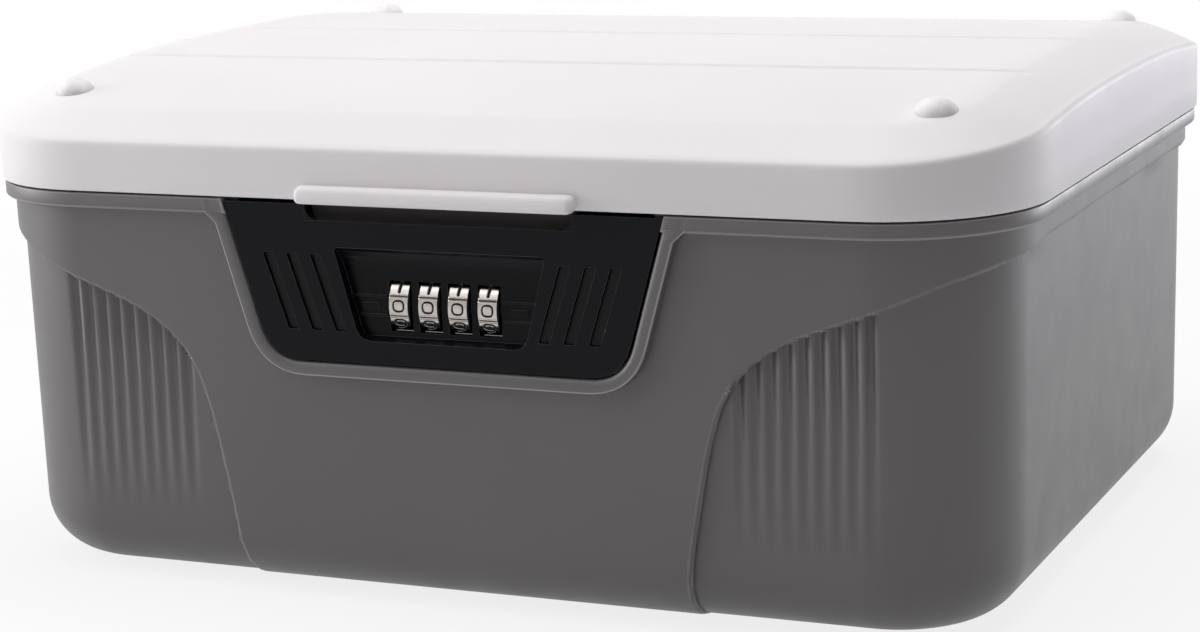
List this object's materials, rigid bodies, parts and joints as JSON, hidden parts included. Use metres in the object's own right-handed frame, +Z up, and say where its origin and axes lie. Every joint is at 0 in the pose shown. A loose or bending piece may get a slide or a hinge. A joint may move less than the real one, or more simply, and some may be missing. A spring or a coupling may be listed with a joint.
{
  "type": "medication lock box",
  "caption": "Moulded storage box with a hinged lid, closed by a resettable combination lock with thumb-turned dials.",
  "frame": {"origin": "centre of the bounding box's underside, on the plane that the feet stand on", "axes": "+X to the right as seen from the front, +Y towards the hinges, +Z up; the lock faces -Y"},
  "size_m": [0.3, 0.257, 0.1384],
  "materials": {
    "grey_plastic": "fine matt grain",
    "white_plastic": "satin",
    "black_plastic": "satin",
    "plain_steel": "zinc plated",
    "bright_nickel": "bright nickel",
    "zinc_alloy": "die cast",
    "clear_rubber": "clear, slightly cloudy",
    "dark_rubber": "matt"
  },
  "bodies": {
    "box": {"base_tub": "grey_plastic", "lock_bezel": "black_plastic", "lock_housing": "black_plastic", "detent_comb": "plain_steel", "latch_pin": "plain_steel", "shaft_spring": "plain_steel", "latch_spring_left": "plain_steel", "latch_spring_right": "plain_steel", "hinge_pin_left": "plain_steel", "hinge_pin_right": "plain_steel", "housing_screw_1": "plain_steel", "housing_screw_2": "plain_steel", "housing_screw_3": "plain_steel", "housing_screw_4": "plain_steel", "foot_1": "dark_rubber", "foot_2": "dark_rubber", "foot_3": "dark_rubber", "foot_4": "dark_rubber"},
    "change_slide": {"code_change_slide": "black_plastic", "dial_shaft": "plain_steel"},
    "latch": {"latch": "zinc_alloy"},
    "lid": {"lid_shell": "white_plastic", "strike_plate": "plain_steel", "strike_screw_1": "plain_steel", "strike_screw_2": "plain_steel", "stack_pad_1": "clear_rubber", "stack_pad_2": "clear_rubber", "stack_pad_3": "clear_rubber", "stack_pad_4": "clear_rubber"},
    "dial_1": {"dial_wheel_1": "bright_nickel", "code_sleeve_1": "zinc_alloy"},
    "dial_2": {"dial_wheel_2": "bright_nickel", "code_sleeve_2": "zinc_alloy"},
    "dial_3": {"dial_wheel_3": "bright_nickel", "code_sleeve_3": "zinc_alloy"},
    "dial_4": {"dial_wheel_4": "bright_nickel", "code_sleeve_4": "zinc_alloy"}
  },
  "joints": [
    {"name": "lid_hinge", "type": "hinge", "parent": "box", "child": "lid", "pos_m": [0, 0.12487, 0.1093], "axis": [-1, 0, 0], "range_deg": [0, 100]},
    {"name": "latch_rock", "type": "hinge", "parent": "box", "child": "latch", "pos_m": [0, -0.10518, 0.0911], "axis": [-1, 0, 0], "range_deg": [0, 12.5], "stiffness_Nm_per_rad": 0.03, "springref_deg": -17.19, "deforming": ["latch_spring_left", "latch_spring_right"]},
    {"name": "code_change", "type": "slide", "parent": "box", "child": "change_slide", "axis": [1, 0, 0], "range_m": [0, 0.003]},
    {"name": "dial_1_turn", "type": "hinge", "parent": "box", "child": "dial_1", "pos_m": [-0.01275, -0.11342, 0.0818], "axis": [1, 0, 0], "continuous": true},
    {"name": "dial_2_turn", "type": "hinge", "parent": "box", "child": "dial_2", "pos_m": [-0.00425, -0.11342, 0.0818], "axis": [1, 0, 0], "continuous": true},
    {"name": "dial_3_turn", "type": "hinge", "parent": "box", "child": "dial_3", "pos_m": [0.00425, -0.11342, 0.0818], "axis": [1, 0, 0], "continuous": true},
    {"name": "dial_4_turn", "type": "hinge", "parent": "box", "child": "dial_4", "pos_m": [0.01275, -0.11342, 0.0818], "axis": [1, 0, 0], "continuous": true}
  ]
}
